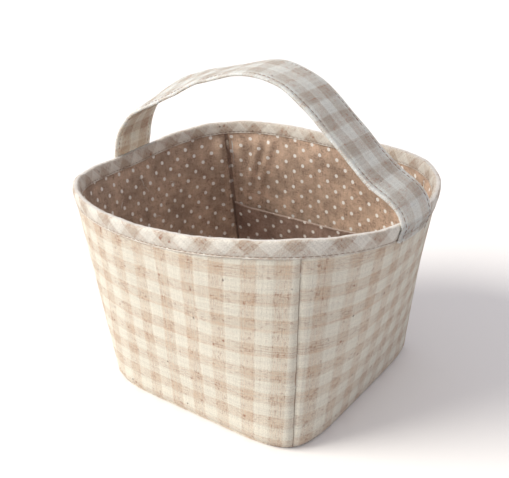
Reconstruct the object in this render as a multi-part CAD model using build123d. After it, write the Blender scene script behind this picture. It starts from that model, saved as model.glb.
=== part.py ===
"""Fabric storage bin: a lined, padded gingham tub with a bias-bound rim, an inner pocket
and one strap handle.  Millimetres, +Z up, origin at the centre of the base on the floor.
Front is -Y, right is +X, the pocket is on the +Y wall, the handle spans along X."""
from build123d import *
import os
from math import cos, hypot, pi, radians, sin

# ---- tub ----
HEIGHT = 128.0                # mean height of the rim's top fold
BASE_HALF = 75.0              # half the base width between opposite walls
BASE_POWER = 6.3              # superellipse power: a square with well rounded corners
RIM_HALF_X = 106.7            # half sizes of the wall at the rim, under the binding
RIM_HALF_Y = 96.6
RIM_POWER = 2.5               # the open rim relaxes almost to a circle
RIM_SHIFT_X = -3.6            # the rim leans a little towards the left wall
RIM_SKEW = 0.018              # the front-right and back-left corners reach out further
RIM_TILT = 0.019              # slow rise and fall of the rim, as a share of the height
RIM_TILT_AT = radians(23)     # heading of the low side of that rise and fall
RIM_SCALLOP = 0.015           # the four corners stand higher than the middle of the walls

# ---- layers of the wall, outside to inside ----
GAP = 0.1                     # clearance between neighbouring layers
OUTER_CLOTH = 0.8
PADDING = 2.4
LINING_CLOTH = 0.6
PADDING_DEPTH = OUTER_CLOTH + GAP
LINING_DEPTH = PADDING_DEPTH + PADDING + GAP
WALL = LINING_DEPTH + LINING_CLOTH
SEAM_HALF_GAP = radians(0.16)  # half the slit between two panels at a corner
BASE_SLIT = 0.6               # slit between a base and the walls standing on it
THREAD = 0.4                  # sewing thread, also its stand-off from the cloth

# ---- rim binding ----
BINDING_CLOTH = 1.0
BINDING_DROP = 10.0           # how far each leg of the binding reaches down
BINDING_TOP = 1.4             # cloth over the raw top edges of the wall
BINDING_BEVEL = 1.6           # softening of the top fold
STITCH_DROP = 8.8             # topstitch line below the top fold

# ---- pocket ----
POCKET_TOP = 66.0
POCKET_CLOTH = 1.2
POCKET_BOW = 9.0              # how far the mouth stands off the lining in the middle

# ---- handle ----
STRAP_HALF = 17.25            # half the strap width
STRAP_CLOTH = 0.7
STRAP_CORE = 1.0
STRAP_THICK = STRAP_CORE + 2 * STRAP_CLOTH
EDGE_STITCH = 3.0             # topstitch in from the strap's edge
HINGE_Z = 146.0               # height of the line the handle folds about
HINGE_END = 17.4              # radius of the strap's free ends round that line
LAP_BOTTOM_DROP = 11.5        # sewn ends reach this far below the top fold
LAP_TOP_Z = 127.6             # the sewn ends stop here, the free strap starts above
LAP_STITCH_DROP = 5.5         # stitch line across each sewn end
LAP_CLEARANCE = 1.0           # the curved rim stays clear of the flat sewn end
ARCH = [(-110.2, 131.0), (-108.0, 137.0), (-101.5, 146.5), (-91.0, 156.0), (-76.0, 164.5),
        (-52.0, 175.5), (-26.0, 184.6), (4.0, 191.6), (26.0, 188.2), (44.0, 178.0),
        (60.0, 164.0), (74.0, 151.5), (84.5, 143.0), (95.0, 137.0), (101.5, 131.0)]

SIDES = {"right": 0.0, "back": 90.0, "left": 180.0, "front": 270.0}
PANEL_STEPS = 14              # sections lofted across one wall


def outline(theta, half_x, half_y, power):
    """Point at heading theta on a superellipse."""
    c, s = cos(theta), sin(theta)
    r = (abs(c) ** power + abs(s) ** power) ** (-1 / power)
    return Vector(half_x * r * c, half_y * r * s, 0)


def rim_height(theta):
    wave = RIM_TILT * cos(2 * (theta - RIM_TILT_AT)) + RIM_SCALLOP * cos(4 * theta)
    return HEIGHT * (1 - wave)


def wall_line(theta):
    """Foot and top of the outer cloth's outer face at heading theta."""
    foot = outline(theta, BASE_HALF, BASE_HALF, BASE_POWER)
    top = outline(theta, RIM_HALF_X, RIM_HALF_Y, RIM_POWER) * (1 - RIM_SKEW * sin(2 * theta))
    return foot, top + Vector(RIM_SHIFT_X, 0, rim_height(theta))


def inward(theta):
    """Level unit vector square to the wall, pointing into the tub."""
    step = radians(1)
    ahead, behind = (sum(wall_line(theta + d), Vector()) for d in (step, -step))
    along = ahead - behind
    return Vector(-along.Y, along.X, 0).normalized()


def wall_point(theta, z, depth):
    """Point on the wall at height z, depth mm in from the outer face."""
    foot, top = wall_line(theta)
    return foot + (top - foot) * (z / top.Z) + inward(theta) * depth


def section(theta, corners):
    """Closed wire through (height, depth) corners, all in the wall's cross plane."""
    return Wire.make_polygon([wall_point(theta, z, d) for z, d in corners], close=True)


def span(side, half_gap=SEAM_HALF_GAP):
    """Headings across one wall, from corner seam to corner seam."""
    start = radians(side - 45) + half_gap
    step = (pi / 2 - 2 * half_gap) / PANEL_STEPS
    return [start + step * i for i in range(PANEL_STEPS + 1)]


def wall_layer(side, depth, thick, z_bottom):
    """One panel of cloth or padding, standing on z_bottom and ending under the binding."""
    sections = []
    for t in span(side):
        top = rim_height(t) - BINDING_TOP - GAP
        sections.append(section(t, [(z_bottom, depth), (top, depth),
                                    (top, depth + thick), (z_bottom, depth + thick)]))
    return Solid.make_loft(sections)


def ring(corners_at):
    """Closed ring round the tub; corners_at(theta) gives the (height, depth) profile."""
    quarters = []
    for side in SIDES.values():
        quarters.append(Solid.make_loft([section(t, corners_at(t)) for t in span(side, 0)]))
    return quarters[0].fuse(*quarters[1:])


def thread_profile(z, depth):
    """Diamond cross-section of a thread centred on (z, depth)."""
    h = THREAD / 2
    return [(z - h, depth), (z, depth + h), (z + h, depth), (z, depth - h)]


def base_plate(z_bottom, thick, depth):
    """Flat rounded-square layer of the base, depth mm in from the outer face."""
    half = BASE_HALF - depth
    points = [outline(radians(a), half, half, BASE_POWER) for a in range(0, 360, 6)]
    face = Face(Wire([Edge.make_spline(points, periodic=True)]))
    return Pos(0, 0, z_bottom) * extrude(face, thick, dir=(0, 0, 1))


def corner_threads(depth, z_bottom):
    """Seam threads in the four corner slits, as separate rods."""
    rods = []
    for side in SIDES.values():
        t = radians(side + 45)
        ends = [wall_point(t, z_bottom, depth),
                wall_point(t, rim_height(t) - BINDING_TOP - GAP, depth)]
        axis = ends[1] - ends[0]
        rods.append(Solid.make_cylinder(THREAD / 2, axis.length, Plane(ends[0], z_dir=axis)))
    return Compound(rods)


def base_thread(depth, z):
    """Seam thread round the foot of the walls, centred on (z, depth)."""
    low = z - THREAD / 2
    return base_plate(low, THREAD, depth - THREAD / 2) - base_plate(low, THREAD,
                                                                    depth + THREAD / 2)


def rim_binding():
    """Bias strip folded over the top edges, one leg outside and one leg inside."""
    def corners(t):
        top, foot = rim_height(t), rim_height(t) - BINDING_DROP
        under = top - BINDING_TOP
        outside, inside = -GAP - BINDING_CLOTH, WALL + GAP + BINDING_CLOTH
        return [(foot, outside), (top - BINDING_BEVEL, outside), (top, outside + BINDING_BEVEL),
                (top, inside - BINDING_BEVEL), (top - BINDING_BEVEL, inside), (foot, inside),
                (foot, WALL + GAP), (under, WALL + GAP), (under, -GAP), (foot, -GAP)]
    return ring(corners)


def binding_stitch(depth):
    return ring(lambda t: thread_profile(rim_height(t) - STITCH_DROP, depth))


def pocket_panel():
    """Doubled panel sewn in at the corners and the foot, its mouth standing off the wall."""
    foot = BASE_TOP + BASE_SLIT
    sections = []
    angles = span(SIDES["back"], radians(0.9))
    for i, t in enumerate(angles):
        back = WALL + GAP
        bow = back + POCKET_BOW * sin(pi * i / (len(angles) - 1))
        sections.append(section(t, [(foot, back), (POCKET_TOP, bow),
                                    (POCKET_TOP, bow + POCKET_CLOTH), (foot, back + POCKET_CLOTH)]))
    return Solid.make_loft(sections)


def lap_line(side, drop):
    """Point on the strap's centre line where it lies flat on the outside of the rim."""
    t = radians(SIDES[side])
    clearance = GAP + BINDING_CLOTH + LAP_CLEARANCE + STRAP_THICK / 2
    p = wall_point(t, rim_height(t) - drop, -clearance)
    return (p.X, p.Z)


def strap_line():
    """Centre line of the whole strap in the XZ plane, left sewn end to right sewn end."""
    left = [lap_line("left", d) for d in (LAP_BOTTOM_DROP, LAP_STITCH_DROP, 0.0)]
    right = [lap_line("right", d) for d in (0.0, LAP_STITCH_DROP, LAP_BOTTOM_DROP)]
    return Edge.make_spline([Vector(x, 0, z) for x, z in left + ARCH + right])


STRAP_SAMPLES = 72


def strap_band(low, high, y_from, y_to):
    """Layer of the strap between two offsets from its centre line, outside positive."""
    line = strap_line()
    edges = {}
    for offset in (low, high):
        points = []
        for i in range(STRAP_SAMPLES + 1):
            f = i / STRAP_SAMPLES
            run = line.tangent_at(f)
            points.append(line.position_at(f) + Vector(-run.Z, 0, run.X) * offset)
        edges[offset] = points
    near, far = Edge.make_spline(edges[low]), Edge.make_spline(edges[high])
    face = Face(Wire([near, Edge.make_line(near @ 1, far @ 1), far,
                      Edge.make_line(far @ 0, near @ 0)]))
    return Pos(0, y_from, 0) * extrude(face, y_to - y_from, dir=(0, 1, 0))


def slab(z_low, z_high, x_low=-400, x_high=400):
    """Block used to keep one height band of the strap."""
    return Pos((x_low + x_high) / 2, 0, (z_low + z_high) / 2) * Box(
        x_high - x_low, 200, z_high - z_low)


def free_part(band):
    """The strap above the hinge line, with ends rounded about that line."""
    ends = Pos(0, 0, HINGE_Z) * Rot(0, 90, 0) * Cylinder(HINGE_END, 800)
    return band & (slab(HINGE_Z, 400) + ends)


def sewn_part(band, side):
    low, high = (-400, 0) if side == "left" else (0, 400)
    return band & slab(0, LAP_TOP_Z, low, high)


def strap_sleeve():
    """Gingham sleeve of the strap: a flat tube round the core."""
    outer = strap_band(-STRAP_THICK / 2, STRAP_THICK / 2, -STRAP_HALF, STRAP_HALF)
    half = STRAP_HALF - STRAP_CLOTH
    return outer - strap_band(-STRAP_CORE / 2, STRAP_CORE / 2, -half, half)


def strap_core():
    half, thick = STRAP_HALF - STRAP_CLOTH - GAP, STRAP_CORE / 2 - GAP
    return strap_band(-thick, thick, -half, half)


def edge_stitch(y):
    """Upper and lower thread of one topstitch line along the strap."""
    face = STRAP_THICK / 2
    return Compound([strap_band(face, face + THREAD, y - THREAD / 2, y + THREAD / 2),
                     strap_band(-face - THREAD, -face, y - THREAD / 2, y + THREAD / 2)])


def upper_stitch(y):
    face = STRAP_THICK / 2
    return strap_band(face, face + THREAD, y - THREAD / 2, y + THREAD / 2)


def lap_stitch(side):
    """Threads on one sewn end: the line across it and the two edge lines."""
    y = STRAP_HALF - EDGE_STITCH
    threads = [sewn_part(upper_stitch(s * y), side) for s in (-1, 1)]
    x, z = lap_line(side, LAP_STITCH_DROP)
    face = STRAP_THICK / 2
    across = strap_band(face, face + THREAD, -y + THREAD, y - THREAD)
    threads.append(sewn_part(across, side) & slab(z - THREAD / 2, z + THREAD / 2))
    return Compound([s for t in threads for s in t.solids()])


BASE_TOP = OUTER_CLOTH + GAP + PADDING + GAP + LINING_CLOTH


def build():
    nodes = {}
    for side, angle in SIDES.items():
        nodes["outer_panel_" + side] = wall_layer(angle, 0, OUTER_CLOTH, OUTER_CLOTH + BASE_SLIT)
        nodes["padding_panel_" + side] = wall_layer(angle, PADDING_DEPTH, PADDING,
                                                    OUTER_CLOTH + BASE_SLIT)
        nodes["lining_panel_" + side] = wall_layer(angle, LINING_DEPTH, LINING_CLOTH,
                                                   BASE_TOP + BASE_SLIT)
    nodes["outer_base"] = base_plate(0, OUTER_CLOTH, 0)
    nodes["base_stiffener"] = base_plate(OUTER_CLOTH + GAP, PADDING, LINING_DEPTH + GAP)
    nodes["lining_base"] = base_plate(BASE_TOP - LINING_CLOTH, LINING_CLOTH, LINING_DEPTH + GAP)
    nodes["corner_seam_threads"] = corner_threads(OUTER_CLOTH / 2, OUTER_CLOTH + BASE_SLIT)
    nodes["lining_seam_threads"] = corner_threads(LINING_DEPTH + LINING_CLOTH / 2,
                                                  BASE_TOP + BASE_SLIT)
    nodes["base_seam_thread"] = base_thread(OUTER_CLOTH / 2, OUTER_CLOTH + BASE_SLIT / 2)
    nodes["lining_base_seam_thread"] = base_thread(LINING_DEPTH + LINING_CLOTH / 2,
                                                   BASE_TOP + BASE_SLIT / 2)
    nodes["pocket_panel"] = pocket_panel()
    nodes["rim_binding"] = rim_binding()
    stand_off = GAP + BINDING_CLOTH + THREAD / 2
    nodes["binding_stitch_outer"] = binding_stitch(-stand_off)
    nodes["binding_stitch_inner"] = binding_stitch(WALL + stand_off)
    sleeve, core = strap_sleeve(), strap_core()
    nodes["handle_sleeve"] = free_part(sleeve)
    nodes["handle_core"] = free_part(core)
    for side in ("left", "right"):
        nodes["handle_end_" + side] = sewn_part(sleeve, side)
        nodes["handle_end_core_" + side] = sewn_part(core, side)
        nodes["handle_end_stitch_" + side] = lap_stitch(side)
    y = STRAP_HALF - EDGE_STITCH
    nodes["handle_topstitch_near"] = free_part(edge_stitch(-y))
    nodes["handle_topstitch_far"] = free_part(edge_stitch(y))
    return nodes


os.makedirs("parts", exist_ok=True)
for name, shape in build().items():
    export_step(shape, "parts/" + name + ".step")
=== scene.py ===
# %% [markdown]
# # A small gingham storage bin
# The real bin is sewn: four padded gingham walls, a dotted brown lining, a bias strip folded
# over the rim, an inner pocket and one strap handle.  Everything soft is rebuilt here from
# its curved sheets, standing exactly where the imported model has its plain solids.

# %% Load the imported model
import bpy
import bmesh
import numpy as np
from math import cos, pi, radians, sin
from mathutils import Matrix, Vector


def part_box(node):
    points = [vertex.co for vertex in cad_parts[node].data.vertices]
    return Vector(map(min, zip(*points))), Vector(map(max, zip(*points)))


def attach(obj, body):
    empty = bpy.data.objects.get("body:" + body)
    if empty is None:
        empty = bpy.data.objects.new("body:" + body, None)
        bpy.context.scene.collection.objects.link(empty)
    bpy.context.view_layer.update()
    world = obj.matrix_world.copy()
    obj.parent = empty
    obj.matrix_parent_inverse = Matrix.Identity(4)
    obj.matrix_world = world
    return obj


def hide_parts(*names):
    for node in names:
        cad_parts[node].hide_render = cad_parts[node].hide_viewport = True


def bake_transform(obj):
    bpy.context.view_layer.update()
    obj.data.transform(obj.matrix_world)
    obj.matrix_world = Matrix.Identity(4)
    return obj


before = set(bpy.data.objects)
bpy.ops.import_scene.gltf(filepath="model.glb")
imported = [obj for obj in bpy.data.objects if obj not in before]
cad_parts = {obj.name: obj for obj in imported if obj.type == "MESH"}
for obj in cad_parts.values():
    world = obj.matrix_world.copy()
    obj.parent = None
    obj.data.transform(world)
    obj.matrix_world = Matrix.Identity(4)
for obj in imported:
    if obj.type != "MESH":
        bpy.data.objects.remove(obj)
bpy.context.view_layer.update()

SIDES = {"right": 0.0, "back": 90.0, "left": 180.0, "front": 270.0}

# %% [markdown]
# ## The shape of the wall
# A soft bin is stiff at its square base and slack at its rim, so the section changes from a
# rounded square to nearly a circle.  One superellipse at the foot and one at the rim, joined
# by straight lines, give every layer of the wall.  A sewn bin could also be modelled by
# draping cloth, but the rule keeps all the layers in step with each other.

# %% Wall rule
MM = 0.001
base_low, base_high = (np.array(v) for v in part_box("outer_base"))
BASE_HALF = (base_high[0] - base_low[0]) / 2
BASE_POWER = 6.3
RIM_HALF = np.array([106.7, 96.6]) * MM
RIM_POWER = 2.5
RIM_SHIFT = np.array([-3.6, 0.0]) * MM
RIM_SKEW = 0.018
HEIGHT = 128 * MM
WALL = 4.1 * MM               # outer cloth, wadding and lining together
RIM_WALL = 2.3 * MM           # the same layers squeezed flat under the binding
SQUEEZE_DROP = 24 * MM        # how far below the rim the squeeze starts
SQUEEZE_LENGTH = 17 * MM
RIM_WAVE, CORNER_WAVE = 0.019, 0.015    # rise and fall of the rim, as shares of the height
WAVE_HEADING = radians(23)
LOOK_AHEAD = 0.0175           # about a degree, in radians


def smooth(share):
    """Ease in and out between 0 and 1."""
    share = np.clip(share, 0, 1)
    return share * share * (3 - 2 * share)


def outline(theta, half, power):
    """Superellipse: an oval at power 2, a rounded rectangle at higher powers."""
    c, s = np.cos(theta), np.sin(theta)
    r = (np.abs(c) ** power + np.abs(s) ** power) ** (-1 / power)
    return np.stack([half[0] * r * c, half[1] * r * s], -1)


def rim_height(theta):
    around = RIM_WAVE * np.cos(2 * (theta - WAVE_HEADING)) + CORNER_WAVE * np.cos(4 * theta)
    return HEIGHT * (1 - around)


def foot_and_rim(theta):
    foot = outline(theta, (BASE_HALF, BASE_HALF), BASE_POWER)
    skew = (1 - RIM_SKEW * np.sin(2 * theta))[..., None]
    return foot, outline(theta, RIM_HALF, RIM_POWER) * skew + RIM_SHIFT


def inward(theta):
    """Level direction into the bin, square to the wall."""
    ahead, behind = (sum(foot_and_rim(theta + d)) for d in (LOOK_AHEAD, -LOOK_AHEAD))
    along = ahead - behind
    turn = np.stack([-along[..., 1], along[..., 0]], -1)
    return turn / np.linalg.norm(turn, axis=-1, keepdims=True)


def wall(theta, z, depth):
    """Points of the wall at heading theta, height z and depth in from the outer face."""
    foot, rim = foot_and_rim(theta)
    share = (z / rim_height(theta))[..., None]
    flat = foot + (rim - foot) * share + inward(theta) * np.asarray(depth)[..., None]
    return np.concatenate([flat, z[..., None]], -1)


def thickness(theta, z):
    """Depth of the lining's face: full on the wall, squeezed near the rim."""
    squeezed = smooth((z - rim_height(theta) + SQUEEZE_DROP) / SQUEEZE_LENGTH)
    return WALL + (RIM_WALL - WALL) * squeezed


# %% [markdown]
# ## Closed cloth from two grids
# Each layer of cloth is a thin closed shell: a grid of points for its face, another for its
# back, and a strip round the edge.  The UV map is the flat cloth itself, in metres, found by
# adding up lengths over the grid, so a woven check keeps its size wherever the cloth goes.
# A Solidify modifier could thicken a single grid, but with two the cloth can be plump in one
# place and pinched in another.

# %% Mesh helpers
def grid_lengths(points):
    """Distances along both directions of a grid, from its middle column and its first row."""
    across = np.zeros(points.shape[:2])
    up = np.zeros(points.shape[:2])
    across[1:] = np.cumsum(np.linalg.norm(np.diff(points, axis=0), axis=-1), axis=0)
    up[:, 1:] = np.cumsum(np.linalg.norm(np.diff(points, axis=1), axis=-1), axis=1)
    return across, up


def stand(name, data):
    """Put a mesh or a lamp in the scene as an object at the origin."""
    piece = bpy.data.objects.new(name, data)
    bpy.context.scene.collection.objects.link(piece)
    return piece


def new_piece(name, verts, quads, uv, material):
    mesh = bpy.data.meshes.new(name)
    mesh.from_pydata([tuple(v) for v in verts], [], [tuple(q) for q in quads])
    layer = mesh.uv_layers.new(name="cloth")
    corner = np.empty(len(mesh.loops), dtype=np.int32)
    mesh.loops.foreach_get("vertex_index", corner)
    layer.data.foreach_set("uv", np.asarray(uv, float)[corner].ravel())
    build = bmesh.new()
    build.from_mesh(mesh)
    bmesh.ops.recalc_face_normals(build, faces=build.faces)
    build.to_mesh(mesh)
    build.free()
    mesh.polygons.foreach_set("use_smooth", [True] * len(mesh.polygons))
    mesh.materials.append(material)
    print(name, len(quads), "faces")
    return stand(name, mesh)


def grid_faces(rows, cols, start=0):
    """Four-cornered faces between neighbouring points of a grid."""
    i, j = np.meshgrid(np.arange(rows - 1), np.arange(cols - 1), indexing="ij")
    a = start + i * cols + j
    return np.stack([a, a + cols, a + cols + 1, a + 1], -1).reshape(-1, 4)


def cloth_shell(name, face, back, uv, material):
    """Closed thin piece between a face grid and a back grid of the same shape."""
    rows, cols = face.shape[:2]
    count = rows * cols
    ids = np.arange(count).reshape(rows, cols)
    rim = np.concatenate([ids[:, 0], ids[-1, 1:], ids[-2::-1, -1], ids[0, -2:0:-1]])
    after = np.roll(rim, -1)
    edge = np.stack([rim, after, after + count, rim + count], -1)
    quads = np.concatenate([grid_faces(rows, cols), grid_faces(rows, cols, count)[:, ::-1], edge])
    verts = np.concatenate([face.reshape(-1, 3), back.reshape(-1, 3)])
    flat = uv.reshape(-1, 2)
    return new_piece(name, verts, quads, np.concatenate([flat, flat]), material)


def fine_ends(length, step, ends=(0.0004, 0.001, 0.0017, 0.0026, 0.0038, 0.0055)):
    """Positions along a length, close together near both ends and even between."""
    ends = np.array(ends)
    inner = np.linspace(0.0075, length - 0.0075, int(length / step))
    return np.concatenate([[0.0], ends, inner, length - ends[::-1], [length]])


def headings(side, step, slit=0.0012):
    """Headings across one wall, evenly spaced along the cloth but fine near the seams."""
    dense = np.linspace(radians(side - 45) + slit, radians(side + 45) - slit, 721)
    foot, rim = foot_and_rim(dense)
    path = (foot + rim) / 2
    run = np.concatenate([[0], np.cumsum(np.linalg.norm(np.diff(path, axis=0), axis=1))])
    return np.interp(fine_ends(run[-1], step), run, dense)


def ripple(x, y, seed, scale, count=6):
    """Smooth unevenness from a few seeded waves, about -1 to 1."""
    rng = np.random.default_rng(seed)
    total = 0
    for _ in range(count):
        heading, size = rng.uniform(0, pi), scale * rng.uniform(0.7, 1.5)
        phase = rng.uniform(0, 2 * pi)
        total = total + np.sin((x * cos(heading) + y * sin(heading)) * 2 * pi / size + phase)
    return total / count


def on_bin(piece, slot, *nodes):
    """Let a piece move with the bin and stand for CAD nodes, which it hides; slot is not used."""
    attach(piece, "bin")
    if nodes:
        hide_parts(*nodes)


# %% [markdown]
# ## Weave
# Linen is a plain weave: every thread goes over one neighbour and under the next.  The group
# numbers the threads from the cloth's own UV, gives each its own tone and its own thick and
# thin places, and says which thread is on top.  Painting each thread means that a check made
# from coloured warp and weft comes out with its half-tone squares, as on a loom.  A picture
# of cloth tiled over the bin would be quicker, but it repeats and its threads don't follow
# the seams.

# %% Node helpers and the linen thread group
def put(tree, kind, inputs=None, **options):
    """Add a node, set its options, and fill its inputs from values or other sockets."""
    node = tree.nodes.new(kind)
    for key, value in options.items():
        setattr(node, key, value)
    for key, value in (inputs or {}).items():
        if isinstance(value, bpy.types.NodeSocket):
            tree.links.new(value, node.inputs[key])
        else:
            node.inputs[key].default_value = value
    return node


def calc(tree, operation, *values, clamp=False):
    node = put(tree, "ShaderNodeMath", dict(enumerate(values)), operation=operation)
    node.use_clamp = clamp
    return node.outputs[0]


def ramp(tree, value, low, high, out_low=0.0, out_high=1.0):
    """Smooth step of a value from low to high."""
    node = put(tree, "ShaderNodeMapRange", {0: value, 1: low, 2: high, 3: out_low, 4: out_high},
               interpolation_type="SMOOTHSTEP")
    return node.outputs[0]


def blend_colour(tree, share, a, b, mode="MIX"):
    node = tree.nodes.new("ShaderNodeMix")
    node.data_type, node.blend_type = "RGBA", mode
    for key, value in ((0, share), (6, a), (7, b)):
        if isinstance(value, bpy.types.NodeSocket):
            tree.links.new(value, node.inputs[key])
        else:
            node.inputs[key].default_value = value
    return node.outputs[2]


def noise(tree, vector, scale, detail=2.0, **more):
    return put(tree, "ShaderNodeTexNoise", {"Vector": vector, "Scale": scale, "Detail": detail,
                                            **more})


def vector_calc(tree, operation, *values):
    node = put(tree, "ShaderNodeVectorMath", dict(enumerate(values)), operation=operation)
    return node.outputs[0]


def split(tree, vector):
    return put(tree, "ShaderNodeSeparateXYZ", {0: vector}).outputs


def grey(tree, value):
    return put(tree, "ShaderNodeCombineColor", {0: value, 1: value, 2: value}).outputs[0]


def wander(tree, cloth, scale, reach):
    """The cloth's coordinates, bent a little by a slow noise."""
    drift = noise(tree, cloth, scale).outputs["Color"]
    drift = vector_calc(tree, "SUBTRACT", drift, (0.5, 0.5, 0.5))
    drift = vector_calc(tree, "MULTIPLY", drift, (reach, reach, 0))
    return vector_calc(tree, "ADD", cloth, drift)


def new_group(name, kind, inputs, outputs):
    """Empty node group with named sockets; returns the tree and its two end nodes."""
    tree = bpy.data.node_groups.new(name, kind)
    for label, socket_kind, value in inputs:
        socket = tree.interface.new_socket(label, in_out="INPUT", socket_type=socket_kind)
        if value is not None:
            socket.default_value = value
    for label, socket_kind in outputs:
        tree.interface.new_socket(label, in_out="OUTPUT", socket_type=socket_kind)
    return tree, tree.nodes.new("NodeGroupInput"), tree.nodes.new("NodeGroupOutput")


SHADER, GEOMETRY = "ShaderNodeTree", "GeometryNodeTree"
FLOAT, VECTOR, COLOUR = "NodeSocketFloat", "NodeSocketVector", "NodeSocketColor"
SHAPE, WHOLE, FINISH = "NodeSocketGeometry", "NodeSocketInt", "NodeSocketMaterial"
THREAD = 0.55 * MM            # spacing of the outer cloth's threads
LINING_THREAD = 0.5 * MM


def along_thread(tree, number, length, spread, stretch, lane):
    """Where a point is on its own thread: far from other threads, close to its neighbours."""
    return put(tree, "ShaderNodeCombineXYZ", {0: calc(tree, "MULTIPLY", number, spread),
                                              1: calc(tree, "MULTIPLY", length, stretch),
                                              2: lane}).outputs[0]


def linen_threads():
    """Each thread's number, its tone along its length, its thick slubs, and which is on top."""
    tree, start, end = new_group(
        "Linen threads", SHADER,
        [("Cloth", VECTOR, None), ("Thread", FLOAT, THREAD)],
        [("Over", FLOAT), ("Warp Tone", FLOAT), ("Weft Tone", FLOAT), ("Height", FLOAT),
         ("Warp Slub", FLOAT), ("Weft Slub", FLOAT)])
    axes = split(tree, wander(tree, start.outputs["Cloth"], 260.0, 1.2 * MM))
    places, numbers, tones, slubs = [], [], [], []
    for k in (0, 1):
        place = calc(tree, "DIVIDE", axes[k], start.outputs["Thread"])
        number = calc(tree, "FLOOR", place)
        own = put(tree, "ShaderNodeTexWhiteNoise", {"W": calc(tree, "ADD", number, 311.0 * k)},
                  noise_dimensions="1D")
        uneven = noise(tree, along_thread(tree, number, axes[1 - k], 3.7, 150.0, 7.0 * k), 1.0)
        tone = calc(tree, "MULTIPLY_ADD", own.outputs["Value"], 0.5,
                    calc(tree, "MULTIPLY", uneven.outputs[0], 0.5))
        run = noise(tree, along_thread(tree, number, axes[1 - k], 5.3, 28.0, 19.0 + 7.0 * k),
                    1.0, 1.0)
        rare = ramp(tree, own.outputs["Value"], 0.90, 0.97)
        slubs.append(calc(tree, "MULTIPLY", rare, ramp(tree, run.outputs[0], 0.50, 0.62)))
        places.append(place)
        numbers.append(number)
        tones.append(tone)
    over = calc(tree, "PINGPONG", calc(tree, "ADD", *numbers), 1.0)
    crowns = [calc(tree, "ABSOLUTE", calc(tree, "SINE", calc(tree, "MULTIPLY", p, pi)))
              for p in places]
    top = put(tree, "ShaderNodeMix", {0: over, 2: crowns[0], 3: crowns[1]}).outputs[0]
    side = put(tree, "ShaderNodeMix", {0: over, 2: tones[0], 3: tones[1]}).outputs[0]
    height = calc(tree, "MULTIPLY_ADD", side, 0.8, top)
    for label, socket in (("Over", over), ("Warp Tone", tones[0]), ("Weft Tone", tones[1]),
                          ("Height", height), ("Warp Slub", slubs[0]), ("Weft Slub", slubs[1])):
        tree.links.new(socket, end.inputs[label])
    return tree


def linen_heather():
    """Darker fibres spun into the yarn: short streaks along both threads, in loose blotches."""
    tree, start, end = new_group("Linen heather", SHADER, [("Cloth", VECTOR, None)],
                                 [("Warp Speck", FLOAT), ("Weft Speck", FLOAT),
                                  ("Knot", FLOAT), ("Grain", FLOAT), ("Relief", FLOAT)])
    cloth = start.outputs["Cloth"]
    streaks = []
    for stretch in ((1350.0, 300.0, 1.0), (300.0, 1350.0, 1.0)):
        pulled = vector_calc(tree, "MULTIPLY", cloth, stretch)
        streaks.append(noise(tree, pulled, 1.0, 3.0, Roughness=0.65).outputs[0])
    blotch = noise(tree, cloth, 150.0, 3.0)
    patch = ramp(tree, blotch.outputs[0], 0.40, 0.60, 0.30, 1.0)
    for label, streak in zip(("Warp Speck", "Weft Speck"), streaks):
        tree.links.new(calc(tree, "MULTIPLY", ramp(tree, streak, 0.50, 0.62), patch),
                       end.inputs[label])
    grain = noise(tree, cloth, 1500.0)
    tree.links.new(ramp(tree, grain.outputs[0], 0.36, 0.64, 0.90, 1.07), end.inputs["Grain"])
    knots = put(tree, "ShaderNodeTexVoronoi", {"Vector": cloth, "Scale": 330.0})
    lot = put(tree, "ShaderNodeSeparateColor", {0: knots.outputs["Color"]})
    ragged = calc(tree, "MULTIPLY_ADD", calc(tree, "ADD", *streaks), -0.5,
                  calc(tree, "ADD", knots.outputs["Distance"], 0.5))
    knot = calc(tree, "MULTIPLY", ramp(tree, ragged, 0.40, 0.12),
                ramp(tree, lot.outputs[0], 0.86, 0.92))
    tree.links.new(knot, end.inputs["Knot"])
    tree.links.new(calc(tree, "ADD", *streaks), end.inputs["Relief"])
    return tree


LINEN, HEATHER = linen_threads(), linen_heather()
print("groups", LINEN.name, HEATHER.name)

# %% [markdown]
# ## Gingham check
# Equal white and beige bands in both directions.  A band is on or off for a whole thread, so
# the check edges are a little ragged; a slow noise bends them by a fraction of a millimetre,
# as hand-cut cloth never lies quite straight.  Stripes could be laid over a plain weave, but
# then the half-tone squares would be flat tints instead of crossing threads.

# %% Gingham group and materials
CHECK = (17 * MM, 16 * MM)    # across and up
SEED_HUSK = (0.10, 0.06, 0.04, 1)


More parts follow.
